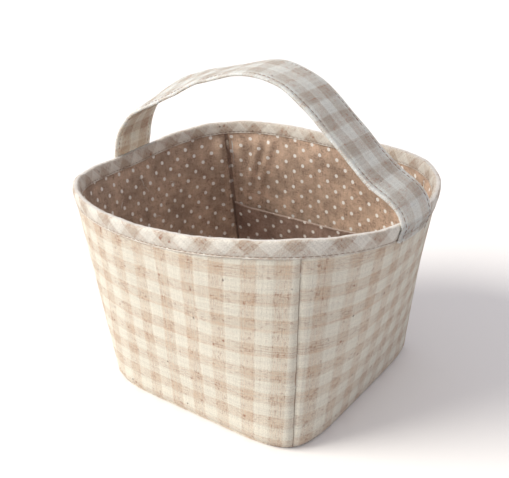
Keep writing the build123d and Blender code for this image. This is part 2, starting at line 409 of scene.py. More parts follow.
def gingham_check():
    """Colour of a check woven from white and beige threads, with dark fibres spun in."""
    tree, start, end = new_group(
        "Gingham check", SHADER,
        [("Cloth", VECTOR, None), ("Check X", FLOAT, CHECK[0]), ("Check Y", FLOAT, CHECK[1]),
         ("White", COLOUR, (0.8, 0.8, 0.8, 1)),
         ("Beige", COLOUR, (0.6, 0.5, 0.4, 1)), ("Slub", COLOUR, (0.4, 0.25, 0.2, 1)),
         ("Over", FLOAT, 0.0), ("Warp Tone", FLOAT, 0.5), ("Weft Tone", FLOAT, 0.5),
         ("Warp Slub", FLOAT, 0.0), ("Weft Slub", FLOAT, 0.0), ("Warp Speck", FLOAT, 0.0),
         ("Weft Speck", FLOAT, 0.0), ("Knot", FLOAT, 0.0), ("Grain", FLOAT, 1.0)],
        [("Color", COLOUR), ("Band", FLOAT)])
    axes = split(tree, wander(tree, start.outputs["Cloth"], 45.0, 2.2 * MM))
    faded_patch = noise(tree, start.outputs["Cloth"], 32.0, 3.0)
    colours, bands = [], []
    for k, label, pitch in ((0, "Warp", "Check X"), (1, "Weft", "Check Y")):
        wave = calc(tree, "PINGPONG", calc(tree, "DIVIDE", axes[k], start.outputs[pitch]), 0.5)
        band = ramp(tree, wave, 0.215, 0.305)
        tone = start.outputs[label + " Tone"]
        worn = calc(tree, "MULTIPLY", band, ramp(tree, tone, 0.12, 0.72, 0.35, 1.0))
        worn = calc(tree, "MULTIPLY", worn,
                    ramp(tree, faded_patch.outputs[0], 0.32, 0.62, 0.72, 1.08))
        plain = blend_colour(tree, worn, start.outputs["White"], start.outputs["Beige"])
        rough = calc(tree, "MULTIPLY", calc(tree, "MULTIPLY_ADD", band, 0.85, 0.13),
                     start.outputs[label + " Speck"])
        lump = calc(tree, "MULTIPLY", start.outputs["Knot"],
                    calc(tree, "MULTIPLY_ADD", band, 0.75, 0.15))
        slub = calc(tree, "MULTIPLY", start.outputs[label + " Slub"],
                    calc(tree, "MULTIPLY_ADD", band, 0.55, 0.20))
        marks = calc(tree, "MAXIMUM", calc(tree, "MAXIMUM", rough, slub), lump)
        slubbed = blend_colour(tree, marks, plain, start.outputs["Slub"])
        shade = calc(tree, "MULTIPLY", ramp(tree, tone, 0.15, 0.85, 0.86, 1.06),
                     start.outputs["Grain"])
        colours.append(blend_colour(tree, 1.0, slubbed, grey(tree, shade), "MULTIPLY"))
        bands.append(band)
    over = calc(tree, "MULTIPLY_ADD", start.outputs["Over"], 0.5, 0.25)
    top = blend_colour(tree, over, *colours)
    seeds = put(tree, "ShaderNodeTexVoronoi", {"Vector": start.outputs["Cloth"], "Scale": 260.0},
                feature="F1")
    chosen = put(tree, "ShaderNodeSeparateColor", {0: seeds.outputs["Color"]})
    fleck = calc(tree, "MULTIPLY", ramp(tree, seeds.outputs["Distance"], 0.22, 0.10),
                 ramp(tree, chosen.outputs[0], 0.985, 0.99))
    top = blend_colour(tree, calc(tree, "MULTIPLY", fleck, 0.8), top, SEED_HUSK)
    tree.links.new(top, end.inputs["Color"])
    tree.links.new(calc(tree, "ADD", *bands), end.inputs["Band"])
    return tree


GINGHAM = gingham_check()


def new_material(name):
    material = bpy.data.materials.new(name)
    material.use_nodes = True
    return material, material.node_tree, material.node_tree.nodes["Principled BSDF"]


def cloth_coordinates(tree, turn=0.0, offset=(0, 0)):
    """The flat cloth's own coordinates, turned and started where the panel was cut."""
    uv = put(tree, "ShaderNodeUVMap", uv_map="cloth")
    place = put(tree, "ShaderNodeMapping", {0: uv.outputs[0]}, vector_type="TEXTURE")
    place.inputs["Location"].default_value = (*offset, 0)
    place.inputs["Rotation"].default_value = (0, 0, turn)
    return place.outputs[0]


def place_group(tree, group, inputs):
    return put(tree, "ShaderNodeGroup", inputs, node_tree=group)


def soft_cloth(shader, sheen=0.25, roughness=0.9):
    shader.inputs["Roughness"].default_value = roughness
    shader.inputs["Sheen Weight"].default_value = sheen
    shader.inputs["Sheen Roughness"].default_value = 0.5
    shader.inputs["Specular IOR Level"].default_value = 0.2


def weave_bump(tree, shader, height, strength=0.35, size=0.25 * MM):
    bump = put(tree, "ShaderNodeBump", {"Height": height, "Strength": strength, "Distance": size})
    tree.links.new(bump.outputs[0], shader.inputs["Normal"])


WHITE_LINEN = (0.87, 0.835, 0.725, 1)
BEIGE_LINEN = (0.68, 0.535, 0.40, 1)
SLUB_LINEN = (0.36, 0.17, 0.105, 1)


def linen_relief(tree, shader, heather, threads):
    """Bump of the weave, with the heavier fibres standing above it."""
    weave_bump(tree, shader, calc(tree, "MULTIPLY_ADD", heather.outputs["Relief"], 3.0,
                                  threads.outputs["Height"]), 0.5)


def gingham_material(name, offset, turn=0.0, white=WHITE_LINEN, beige=BEIGE_LINEN,
                     check=CHECK):
    material, tree, shader = new_material(name)
    cloth = cloth_coordinates(tree, turn, offset)
    threads = place_group(tree, LINEN, {"Cloth": cloth, "Thread": THREAD})
    heather = place_group(tree, HEATHER, {"Cloth": cloth})
    spun = {k: heather.outputs[k] for k in ("Warp Speck", "Weft Speck", "Knot", "Grain")}
    woven = {k: threads.outputs[k]
             for k in ("Over", "Warp Tone", "Weft Tone", "Warp Slub", "Weft Slub")}
    gingham = place_group(tree, GINGHAM, {
        "Cloth": cloth, "Check X": check[0], "Check Y": check[1], "White": white,
        "Beige": beige, "Slub": SLUB_LINEN, **spun, **woven})
    tree.links.new(gingham.outputs["Color"], shader.inputs["Base Color"])
    linen_relief(tree, shader, heather, threads)
    soft_cloth(shader)
    return material


print("group", GINGHAM.name, "check", CHECK)

# %% [markdown]
# ## Dotted lining
# Brown linen printed with small white dots in staggered rows.  The dots are a lattice in the
# cloth's own coordinates, laid twice with a half-step shift.  Little discs of geometry would
# show as dots too, but print has no height: it only colours the crowns of the threads.

# %% Dot group and lining material
DOT_STEP = (13.8 * MM, 11.1 * MM)
DOT_RADIUS = 1.28 * MM
DOT_WHITE = (0.97, 0.945, 0.91, 1)
DARK_FIBRE = (0.13, 0.07, 0.05, 1)


def staggered_dots():
    """Mask of dots in staggered rows: the nearer of two lattices half a step apart."""
    tree, start, end = new_group(
        "Staggered dots", SHADER,
        [("Cloth", VECTOR, None), ("Step X", FLOAT, DOT_STEP[0]), ("Step Y", FLOAT, DOT_STEP[1]),
         ("Radius", FLOAT, DOT_RADIUS)], [("Dot", FLOAT)])
    axes = split(tree, start.outputs["Cloth"])
    nearest = []
    for shift in (0.0, 0.5):
        sides = []
        for k, label in ((0, "Step X"), (1, "Step Y")):
            place = calc(tree, "ADD", calc(tree, "DIVIDE", axes[k], start.outputs[label]), shift)
            off = calc(tree, "SUBTRACT", calc(tree, "FRACT", place), 0.5)
            sides.append(calc(tree, "POWER", calc(tree, "MULTIPLY", off, start.outputs[label]),
                              2.0))
        nearest.append(calc(tree, "SQRT", calc(tree, "ADD", *sides)))
    gap = calc(tree, "DIVIDE", calc(tree, "MINIMUM", *nearest), start.outputs["Radius"])
    tree.links.new(ramp(tree, gap, 1.12, 0.88), end.inputs["Dot"])
    return tree


DOTS = staggered_dots()
BROWN = (0.35, 0.24, 0.175, 1)
BROWN_LIGHT = (0.69, 0.53, 0.41, 1)


def lining_material(name, offset=(0, 0), turn=0.0, dark=BROWN, light=BROWN_LIGHT):
    material, tree, shader = new_material(name)
    cloth = cloth_coordinates(tree, turn, offset)
    threads = place_group(tree, LINEN, {"Cloth": cloth, "Thread": LINING_THREAD})
    dots = place_group(tree, DOTS, {"Cloth": cloth})
    tone = put(tree, "ShaderNodeMix", {0: threads.outputs["Over"], 2: threads.outputs["Warp Tone"],
                                       3: threads.outputs["Weft Tone"]}).outputs[0]
    heather = place_group(tree, HEATHER, {"Cloth": cloth})
    mottle = calc(tree, "MULTIPLY_ADD", heather.outputs["Relief"], 1.9,
                  calc(tree, "MULTIPLY_ADD", tone, 0.40, -1.60), clamp=True)
    brown = blend_colour(tree, mottle, dark, light)
    streak = calc(tree, "MAXIMUM", heather.outputs["Warp Speck"], heather.outputs["Weft Speck"])
    fleck = calc(tree, "MULTIPLY_ADD", streak, 0.70,
                 calc(tree, "MULTIPLY", heather.outputs["Knot"], 0.25), clamp=True)
    brown = blend_colour(tree, fleck, brown, DARK_FIBRE)
    cloud = noise(tree, cloth, 55.0, 3.0)
    shade = calc(tree, "MULTIPLY", ramp(tree, cloud.outputs[0], 0.35, 0.65, 0.84, 1.18),
                 heather.outputs["Grain"])
    brown = blend_colour(tree, 1.0, brown, grey(tree, shade), "MULTIPLY")
    printed = calc(tree, "MULTIPLY", dots.outputs["Dot"], ramp(tree, tone, 0.0, 0.5, 0.90, 1.0))
    colour = blend_colour(tree, printed, brown, DOT_WHITE)
    tree.links.new(colour, shader.inputs["Base Color"])
    linen_relief(tree, shader, heather, threads)
    soft_cloth(shader, sheen=0.15)
    return material


print("group", DOTS.name)

# %% [markdown]
# ## Thread and wadding
# Sewing thread is two plies twisted together, so it gets a fine diagonal bump and, as painted
# shade, a darker colour in the grooves between the plies.  Wadding is felted fibre: a soft noise
# is all that it ever shows.  One helper paints light and shade along a line of the cloth: paler
# along a fold as a painted highlight, darker along a seam and under a lip as painted shade.
# Painting a mask by hand would do the same, but the UV already says where it is.

# %% Thread, wadding and painted light along folds and seams
def scaled_colour(colour, tone):
    return tuple(c * tone for c in colour[:3]) + (1,)


def thread_material(name, colour):
    material, tree, shader = new_material(name)
    place = put(tree, "ShaderNodeTexCoord").outputs["Object"]
    ply = put(tree, "ShaderNodeTexWave", {"Vector": place, "Scale": 900.0, "Distortion": 1.5})
    # Painted shade: the colour is darker where the ply bump is low, in the grooves of the twist.
    tree.links.new(blend_colour(tree, ply.outputs[1], scaled_colour(colour, 0.7), colour),
                   shader.inputs["Base Color"])
    weave_bump(tree, shader, ply.outputs[1], 0.5, 0.1 * MM)
    soft_cloth(shader, roughness=0.7)
    return material


def wadding_material():
    material, tree, shader = new_material("Wadding")
    place = put(tree, "ShaderNodeTexCoord").outputs["Object"]
    fuzz = noise(tree, place, 900.0, 4.0)
    felt = blend_colour(tree, fuzz.outputs[0], (0.6, 0.59, 0.56, 1), (0.8, 0.79, 0.76, 1))
    tree.links.new(felt, shader.inputs["Base Color"])
    weave_bump(tree, shader, fuzz.outputs[0], 0.6, 0.4 * MM)
    soft_cloth(shader)
    return material


def paint_light_along_line(material, low, high, worn, axis=1):
    """Paint light and shade into the cloth's colour along a fold or a seam, between two places on
    its UV.
    """
    tree = material.node_tree
    shader = tree.nodes["Principled BSDF"]
    # worn is the painted colour: paler for a painted highlight, darker for painted shade.
    colour = shader.inputs["Base Color"].links[0].from_socket
    uv = put(tree, "ShaderNodeUVMap", uv_map="cloth")
    off = calc(tree, "ABSOLUTE", calc(tree, "SUBTRACT", split(tree, uv.outputs[0])[axis],
                                      (low + high) / 2))
    half = (high - low) / 2
    frayed = noise(tree, uv.outputs[0], 500.0, 3.0)
    reach = calc(tree, "MULTIPLY_ADD", frayed.outputs[0], 1.6 * MM, off)
    line = ramp(tree, reach, half + 0.7 * MM, half + 0.1 * MM, 0.0, 0.6)
    tree.links.new(blend_colour(tree, line, colour, worn), shader.inputs["Base Color"])


WADDING = wadding_material()
SEWING = thread_material("Beige sewing thread", (0.38, 0.26, 0.19, 1))
SEAM_THREAD = thread_material("Brown seam thread", (0.30, 0.17, 0.13, 1))
print("materials", len(bpy.data.materials))

# %% [markdown]
# ## Outer walls
# Four panels of gingham.  Near each corner seam the cloth dives in to the stitches and puckers
# a little; under the binding it ripples; at the foot it rolls under to meet the base.  All of
# that is one relief function added to the wall rule, so neighbouring panels agree.  Cloth
# simulation would find such puckers too, but not in the same places each time.

# %% Outer wall panels
OUTER_CLOTH = 0.8 * MM
PUCKER = 0.35 * MM
FOOT_Z = 0.5 * MM             # where the panels start, just off the floor
UNDER_BINDING = 2.0 * MM      # and where they end, below the rim's fold
WEAVE_STEP = 1.9 * MM         # spacing of the grid


def seam_relief(across, up, rows_top, seed):
    """How far the cloth stands out from the wall rule, in metres."""
    edge = np.minimum(across - across[:1], across[-1:] - across)
    drop = rows_top - up
    dive = -0.9 * MM * np.exp(-(edge / (1.1 * MM)) ** 2)
    roll = 0.4 * MM * np.exp(-((edge - 4 * MM) / (2.5 * MM)) ** 2)
    pucker = PUCKER * ripple(up, edge * 0.25, seed, 11 * MM) * np.exp(-edge / (10 * MM))
    under_binding = (1.2 * PUCKER * ripple(across, up * 0.2, seed + 1, 14 * MM)
                     * np.exp(-drop / (12 * MM)))
    slack = 0.7 * MM * ripple(across, up, seed + 2, 60 * MM) * (1 - np.exp(-edge / (20 * MM)))
    rolled_foot = -2.2 * MM * np.exp(-(up / (2.2 * MM)) ** 2)
    return dive + roll + pucker + under_binding + slack + rolled_foot


def outer_wall(side, shear, offset):
    theta = headings(SIDES[side], WEAVE_STEP)
    share = fine_ends(HEIGHT, WEAVE_STEP) / HEIGHT
    angle, up_share = np.meshgrid(theta, share, indexing="ij")
    z = FOOT_Z + up_share * (rim_height(angle) - UNDER_BINDING - FOOT_Z)
    across, up = grid_lengths(wall(angle, z, np.zeros_like(z)))
    out = seam_relief(across, up, up[:, -1:], int(SIDES[side]) + 5)
    face = wall(angle, z, -out)
    back = wall(angle, z, OUTER_CLOTH - np.maximum(out, -1.2 * MM))
    reach = across - across[-1:] if side in ("front", "left") else across
    uv = np.stack([reach - shear * up, up], -1)
    piece = cloth_shell("outer_wall_" + side, face, back, uv,
                        gingham_material("Gingham " + side, offset))
    on_bin(piece, "gingham", "outer_panel_" + side)


CHECK_START = {"front": (-1.6, 10.8, 0.016), "right": (-1.0, 12.6, 0.040),
               "left": (3.0, 9.0, 0.010), "back": (5.0, 8.0, -0.010)}
for side, (first, row, lean) in CHECK_START.items():
    outer_wall(side, lean, (first * MM, row * MM))

# %% [markdown]
# ## Wadding and linings
# The wadding is hidden between the two cloths; it is still a piece, so it gets a plain padded
# shell, kept clear of the corners where the lining dives in.  The lining is a bag of its own,
# a touch larger than the space it fills, so it shows soft upright folds near its corners.
# Each fold is a rounded ridge along a slanting line, which is quicker to place than a
# simulated one.

# %% Wadding panels
SEAM_GAP = 0.032              # radians that the wadding stays away from each corner seam
LINING_STEP = 1.8 * MM


def layer_grid(side, low_z, step, slit):
    theta = headings(SIDES[side], step, slit)
    share = np.linspace(0, 1, int(0.13 / step))
    angle, up_share = np.meshgrid(theta, share, indexing="ij")
    return angle, low_z + up_share * (rim_height(angle) - UNDER_BINDING - low_z)


for side in SIDES:
    angle, z = layer_grid(side, 1.6 * MM, 4 * MM, SEAM_GAP)
    across, up = grid_lengths(wall(angle, z, np.zeros_like(z)))
    edge = np.minimum(across - across[:1], across[-1:] - across)
    sink = 0.5 * MM * np.exp(-(edge / (3 * MM)) ** 2)
    full = thickness(angle, z)
    piece = cloth_shell("wadding_" + side, wall(angle, z, 0.42 * full + sink),
                        wall(angle, z, 0.72 * full - sink), np.stack([across, up], -1), WADDING)
    on_bin(piece, "padding", "padding_panel_" + side)

# %% Lining panels
# Each fold, in millimetres and shares of the height: its distance from the seam at the foot and
# at the rim, the height where it starts, how far it stands out and its half width.
BACK_FOLDS = ((8.5, 10.0, 0.52, 1.0, 2.6), (-17.1, 28.6, 0.45, 2.3, 2.9),
              (-10.5, 37.8, 0.45, 1.9, 2.9), (10, 75, 0.35, 1.2, 9.0), (50, 115, 0.35, 1.0, 8.0))
SIDE_FOLDS = ((6.0, 6.0, 0.05, 0.9, 2.8), (5.5, 5.5, 0.45, 2.5, 3.0),
              (20, 34, 0.40, 0.8, 5.0), (60, 66, 0.40, 0.8, 5.0))
CREASE = 2.2 * MM
# Dark brown painted into the lining's corner creases as shade.
SEAM_PAINTED_SHADE = (0.12, 0.075, 0.06, 1)


def fold_line(across, up, foot, top, start, size, wide):
    """One soft fold along a slanting line, growing upwards from its start."""
    height = up / up[:, -1:]
    lean = (foot + (top - foot) * height) * MM
    grow = np.clip((height - start) / 0.3, 0, 1)
    return size * MM * grow * np.exp(-((across - lean) / (wide * MM)) ** 2)


def upright_folds(across, up, side):
    """Folds and corner creases of the loose lining, fading out below the binding."""
    from_start, from_end = across - across[:1], across[-1:] - across
    edge = np.minimum(from_start, from_end)
    crease_width = (5.0 if side == "back" else 3.2) * MM
    out = -CREASE * np.exp(-(edge / crease_width) ** 2)
    out = out + 0.6 * MM * ripple(across, up * 0.35, int(SIDES[side]) + 40, 30 * MM)
    for fold in BACK_FOLDS if side == "back" else SIDE_FOLDS:
        out = out + fold_line(from_end if side == "back" else from_start, up, *fold)
    return out * smooth((up[:, -1:] - up - 7.5 * MM) / (6.5 * MM))


def lining_wall(side, offset, turn, tone):
    angle, z = layer_grid(side, 4.3 * MM, LINING_STEP, slit=0.0)
    full = thickness(angle, z)
    across, up = grid_lengths(wall(angle, z, full))
    out = upright_folds(across, up, side)
    face = wall(angle, z, full + out)
    back = wall(angle, z, full - 0.6 * MM + np.minimum(out, 0))
    reach = across - across[-1:] if side == "back" else across
    uv = np.stack([reach, up], -1)
    # Each wall's brown is scaled by tone, a painted difference of light and shade between the
    # walls.
    piece = cloth_shell("lining_" + side, face, back, uv,
                        lining_material("Dotted lining " + side, offset, turn, scaled_colour(BROWN, tone),
                                        scaled_colour(BROWN_LIGHT, tone)))
    # Painted shade darkens the lining along its corner seams, where the crease lies in shadow.
    if side in ("left", "back"):
        paint_light_along_line(piece.data.materials[0], -1.8 * MM, 1.8 * MM, SEAM_PAINTED_SHADE, axis=0)
    on_bin(piece, "dotted_lining", "lining_panel_" + side)


# Each panel's first dot in millimetres, the turn of its rows, and how much its brown is scaled:
# painted light and shade between the walls.
LINING_START = {"left": (6.8, 7.4, 0.08, 1.06), "back": (-5.2, 6.5, 0.11, 1.22),
                "right": (2.0, 3.0, -0.05, 1.25), "front": (5.0, 1.0, 0.04, 1.15)}
for side, (first, row, turn, tone) in LINING_START.items():
    lining_wall(side, (first * MM, row * MM), turn, tone)

# %% [markdown]
# ## Bases
# Three flat layers: gingham on the floor, a stiffener, and lining on top.  Each is a disc of
# rings shrinking towards the middle, which keeps the rounded-square outline and a clean
# centre.  A scaled cube with a bevel is the usual way, but its corners wouldn't match the foot
# of the walls.

# %% Base layers
AROUND = 160                  # points round each ring


def base_disc(name, low, high, inset, material, crown=0.0):
    rings = np.array([1.0, 0.996, 0.985, 0.96, 0.9, 0.8, 0.65, 0.45, 0.25, 0.1])
    theta = np.linspace(0, 2 * pi, AROUND + 1)[:-1]
    half = BASE_HALF - inset
    verts, quads = [], []
    for z, sign in ((high, 1), (low, -1)):
        for share in rings:
            flat = outline(theta, (half * share, half * share), 2 + (BASE_POWER - 2) * share)
            puff = crown * (1 - share ** 4) * (sign > 0)
            edge = 0.35 * (high - low) * (share > 0.999) * -sign
            verts.append(np.column_stack([flat, np.full(AROUND, z + puff + edge)]))
    centre = [(0, 0, high + crown), (0, 0, low)]
    verts = np.concatenate(verts + [np.array(centre)])
    count = len(rings)
    here, after = np.arange(AROUND), (np.arange(AROUND) + 1) % AROUND
    for sheet in (0, 1):
        for ring in range(count - 1):
            a, b = (k + (sheet * count + ring) * AROUND for k in (here, after))
            quads += np.stack([a, b, b + AROUND, a + AROUND], -1).tolist()
        last = (sheet * count + count - 1) * AROUND
        tip = len(verts) - 2 + sheet
        quads += [[last + i, last + (i + 1) % AROUND, tip] for i in range(AROUND)]
    under = count * AROUND
    quads += np.stack([here, after, after + under, here + under], -1).tolist()
    return new_piece(name, verts, quads, verts[:, :2], material)


CLOTH_INSET, LINING_INSET = 1.6 * MM, 4.0 * MM
piece = base_disc("base_cloth", 0.0, OUTER_CLOTH, CLOTH_INSET,
                  gingham_material("Gingham base", (0, 0)))
on_bin(piece, "gingham", "outer_base")
piece = base_disc("base_board", 0.9 * MM, 3.2 * MM, 3.6 * MM, WADDING)
on_bin(piece, "padding", "base_stiffener")
piece = base_disc("base_lining", 3.4 * MM, 4.1 * MM, LINING_INSET,
                  lining_material("Dotted lining base", (2 * MM, 5 * MM)), crown=1.2 * MM)
on_bin(piece, "dotted_lining", "lining_base")

# %% [markdown]
# ## Pocket
# A doubled panel caught in the two back corner seams and in the foot seam.  Its mouth is a
# fold, so the top edge is thick and soft, and it stands off the lining with a slight sag.  A
# flat panel with a Solidify modifier would read as card: the thick lip, the bow and the tucked
# sides are what say cloth.

# %% Inner pocket
POCKET_FOOT, POCKET_MOUTH = 4.6, 69.0     # heights in millimetres
POCKET_BOW = 7.5 * MM
# The pocket's browns are darker than the wall lining's: painted shade for its place low in the
# bin.
POCKET_SHADED_BROWN, POCKET_SHADED_PALE_BROWN = (0.26, 0.175, 0.14, 1), (0.56, 0.41, 0.33, 1)


def pocket():
    theta = headings(SIDES["back"], 2 * MM, slit=0.004)
    share = np.concatenate([np.linspace(0, 0.94, 34), [0.96, 0.975, 0.987, 0.995, 1.0]])
    angle, up_share = np.meshgrid(theta, share, indexing="ij")
    flat_z = np.full_like(angle, 60 * MM)
    across0, _ = grid_lengths(wall(angle, flat_z, np.full_like(angle, WALL)))
    run = across0 / across0[-1:]
    mouth = (POCKET_MOUTH + np.cos(run * 2 * pi) - np.exp(-((run - 0.78) / 0.12) ** 2)
             + 3.0 * np.exp(-((1 - run) / 0.045) ** 2)) * MM
    z = POCKET_FOOT * MM + up_share * (mouth - POCKET_FOOT * MM)
    bow = POCKET_BOW * np.sin(pi * run) * up_share ** 1.5
    lip = 1.2 * MM * np.sqrt(np.clip(1 - ((up_share - 0.99) / 0.03) ** 2, 0, 1)) * (share > 0.9)
    tuck = 0.25 * MM + 0.95 * MM * np.clip((1.0 - up_share) / 0.012, 0, 1) ** 0.5
    wave = 0.5 * MM * ripple(across0, z, 77, 35 * MM) * np.sin(pi * run)
    side_gap = np.minimum(across0, across0[-1:] - across0)
    caught = 1.7 * MM * np.exp(-(side_gap / (2.4 * MM)) ** 2)
    near = WALL + 0.5 * MM + bow + wave - caught
    across, up = grid_lengths(wall(angle, z, near))
    face = wall(angle, z, near + tuck * 0.5 + 0.4 * lip)
    back = wall(angle, z, near - tuck * 0.5)
    uv = np.stack([across - (across[:1] + across[-1:]) / 2, up - up[:, -1:]], -1)
    piece = cloth_shell("pocket", face, back, uv,
                        lining_material("Dotted pocket", (5.5 * MM, 4.5 * MM), 0.06,
                                        POCKET_SHADED_BROWN, POCKET_SHADED_PALE_BROWN))
    # A painted highlight along the fold of the pocket's mouth.
    paint_light_along_line(piece.data.materials[0], -0.9 * MM, 0.9 * MM, (0.72, 0.62, 0.54, 1))
    on_bin(piece, "dotted_lining", "pocket_panel")


pocket()

# %% [markdown]
# ## Rim binding
# A strip cut on the bias, so its check lies as diamonds, folded over the raw edges and
# stitched through.  It is one profile carried round the rim: a full roll above the stitches,
# a pinch at them and a small free lip below.  Bias cloth is springy, so the roll is uneven.
# A bevelled curve would sweep a profile too, but it can't lean with the wall or swell and
# dip along the rim.

# %% Rim binding
def smooth_line(points, count):
    """Catmull-Rom curve through 2-D points."""
    p = np.array(points, float)
    p = np.vstack([2 * p[0] - p[1], p, 2 * p[-1] - p[-2]])
    where = np.linspace(0, len(points) - 1 - 1e-9, count)
    k = where.astype(int)
    f = (where - k)[:, None]
    a, b, c, d = p[k], p[k + 1], p[k + 2], p[k + 3]
    return 0.5 * (2 * b + (c - a) * f + (2 * a - 5 * b + 4 * c - d) * f ** 2
                  + (3 * b - a - 3 * c + d) * f ** 3)


STITCH_DROP = 8.8             # topstitching, in millimetres below the rim
RING = 520                    # profiles round the rim
W = RIM_WALL / MM             # the layers that it wraps, in millimetres
# The profile, in millimetres: how far below the rim, and how far in from the outer face.
SKIN = [(10.0, -0.2), (9.9, -0.55), (9.5, -0.75), (8.8, -0.45), (8.0, -0.75), (6.0, -1.0),
        (3.5, -1.0), (1.5, -0.85), (0.4, -0.35), (0.0, 0.5), (0.0, W - 0.5), (0.4, W + 0.35),
        (1.4, W + 0.85), (3.0, W + 1.0), (5.0, W + 1.0), (6.6, W + 0.8), (7.3, W + 0.45),
        (7.9, W + 0.6), (8.3, W + 0.4), (8.4, W + 0.12)]
TUCK = [(8.2, W + 0.08), (5.0, W + 0.1), (2.0, W + 0.08), (1.4, W - 0.4), (1.3, W / 2),
        (1.4, 0.4), (2.0, -0.08), (6.0, -0.1), (9.8, -0.08)]


def rim_binding():
    skin, tuck = smooth_line(SKIN, 58), smooth_line(TUCK, 22)
    profile = np.concatenate([skin, tuck]) * MM
    theta = np.linspace(0, 2 * pi, RING + 1)[:-1]
    angle = np.repeat(theta[:, None], len(profile), 1)
    mid = wall(theta, rim_height(theta) - 5 * MM, np.zeros_like(theta))
    run = np.concatenate([[0], np.cumsum(np.linalg.norm(np.diff(mid, axis=0), axis=1))])
    length = run[-1] + np.linalg.norm(mid[0] - mid[-1])
    turn = run / length * 2 * pi
    drop, depth = profile[:, 0][None], profile[:, 1][None]
    outer = np.arange(len(profile))[None] < len(skin)

    def round_wave(seed, low, high, count=7):
        """Unevenness round the rim, from low to high waves in one turn."""
        rng = np.random.default_rng(seed)
        waves = [np.sin(turn * rng.integers(low, high) + rng.uniform(0, 6)) for _ in range(count)]
        return sum(waves)[:, None] / count

    side = np.where(depth < RIM_WALL / 2, -1.0, 1.0)
    full = np.clip(1 - np.abs(drop / MM - 5) / 5, 0, 1)
    puff = round_wave(3, 38, 80) * 0.35 * MM * full + round_wave(4, 6, 20) * 0.2 * MM * full
    lip = round_wave(9, 30, 90) * 0.18 * MM * np.clip((drop / MM - 8.8) / 1.2, 0, 1)
    depth = depth + np.where(outer, side * (puff + np.abs(lip)), 0)
    uneven_top = (round_wave(6, 8, 34) * 0.55 + round_wave(12, 40, 110) * 0.25) * MM
    drop = drop + np.where(outer, lip + uneven_top * np.clip(1 - drop / MM / 3, 0, 1), 0)
    points = wall(angle, rim_height(angle) - drop, depth)
    rows, cols = points.shape[:2]
    i, j = np.meshgrid(np.arange(rows), np.arange(cols), indexing="ij")
    after_i, after_j = (i + 1) % rows, (j + 1) % cols
    quads = np.stack([i * cols + j, after_i * cols + j, after_i * cols + after_j,
                      i * cols + after_j], -1).reshape(-1, 4)
    cut = np.concatenate([[0], np.cumsum(np.linalg.norm(np.diff(profile, axis=0), axis=1))])
    uv = np.stack(np.broadcast_arrays(run[:, None], cut[None]), -1).reshape(-1, 2)
    piece = new_piece("binding_strip", points.reshape(-1, 3), quads, uv,
                      gingham_material("Bias gingham", (1 * MM, 8 * MM), turn=radians(45),
                                       white=(0.84, 0.81, 0.74, 1), beige=(0.53, 0.435, 0.345, 1),
                                       check=(CHECK[1], CHECK[1])))
    close_uv(piece, float(length))
    on_skin = cut[:len(skin)]
    # A painted highlight along the binding's top fold and painted shadow under its inner lip.
    top_highlight, lip_shadow = skin[:, 0] < 0.25, (skin[:, 0] > 7.8) & (skin[:, 1] > W)
    for part, colour in ((top_highlight, (0.86, 0.85, 0.83, 1)), (lip_shadow, (0.24, 0.15, 0.115, 1))):
        paint_light_along_line(piece.data.materials[0], float(on_skin[part].min()), float(on_skin[part].max()),
                  colour)
    on_bin(piece, "bias_gingham", "rim_binding")
    return float(length)


def close_uv(piece, length):
    """The last column of faces runs on past the end of the strip, not back to its start."""
    layer = piece.data.uv_layers["cloth"].data
    for face in piece.data.polygons:
        values = [layer[k].uv.x for k in face.loop_indices]
        if max(values) - min(values) > length / 2:
            for k in face.loop_indices:
                if layer[k].uv.x < length / 2:
                    layer[k].uv.x += length


rim_length = rim_binding()
print("rim length", round(rim_length, 3))

# %% [markdown]
# ## Handle strap
# One strap of straight-grain gingham over a core.  It is laid flat on the outside of the rim,
# runs up and over, and is pinched along two topstitched lines near its edges.  The ends are
# sewn down, and the strap is a single closed mesh from one end to the other.  Two meshes, one
# for the ends and one for the arch, would be simpler.

# %% Strap line and mesh
STRAP_ROWS, FINE_ROWS = 260, 520
# The arch from left to right, in millimetres: x and z of the strap's middle.
STRAP_LINE = [(-109.4, 131.0), (-107.4, 138.0), (-101.4, 148.6), (-91.2, 158.6), (-76.4, 167.2),
              (-52.2, 177.2), (-26.0, 185.4), (4.0, 191.6), (26.0, 188.2), (44.0, 178.0),
              (60.0, 164.0), (74.0, 151.5), (84.5, 143.0), (95.0, 137.0), (101.5, 131.0)]
STAND_OFF = 1.7 * MM          # strap's middle, out from the wall under the sewn ends
SEWN_DROPS = [9.6, 7.5, 4.5, 1.0]
# The strap twists a little: its tilt in degrees at shares of its length.
TILT_AT = [0, 0.07, 0.14, 0.20, 0.27, 0.33, 0.40, 0.46, 0.52, 0.62, 0.9, 1]
TILT = [0, 2, 8, 14, 17, 13, 5, 3, 4, 1, 1, 0]
SWING = [5 * MM, -6 * MM]     # how far off the middle line it is sewn, left and right
RIM_REACH = 0.105             # from the bin's middle to the rim at the strap


def sewn_end(side, drops):
    theta = np.full(len(drops), radians(SIDES[side]))
    spots = wall(theta, rim_height(theta) - np.array(drops) * MM, np.full(len(drops), -STAND_OFF))
    return spots[:, [0, 2]] / MM


def strap_frame(count=STRAP_ROWS):
    """Evenly spaced points of the strap's middle line, its normals and its run."""
    left, right = sewn_end("left", SEWN_DROPS), sewn_end("right", SEWN_DROPS[::-1])
    line = smooth_line(np.vstack([left, STRAP_LINE, right]), 1200) * MM
    run = np.concatenate([[0], np.cumsum(np.linalg.norm(np.diff(line, axis=0), axis=1))])
    even = np.linspace(0, run[-1], count)
    line = np.column_stack([np.interp(even, run, line[:, k]) for k in (0, 1)])
    tangent = np.gradient(line, axis=0)
    tangent /= np.linalg.norm(tangent, axis=1, keepdims=True)
    normal = np.column_stack([-tangent[:, 1], tangent[:, 0]])
    return line, normal, even


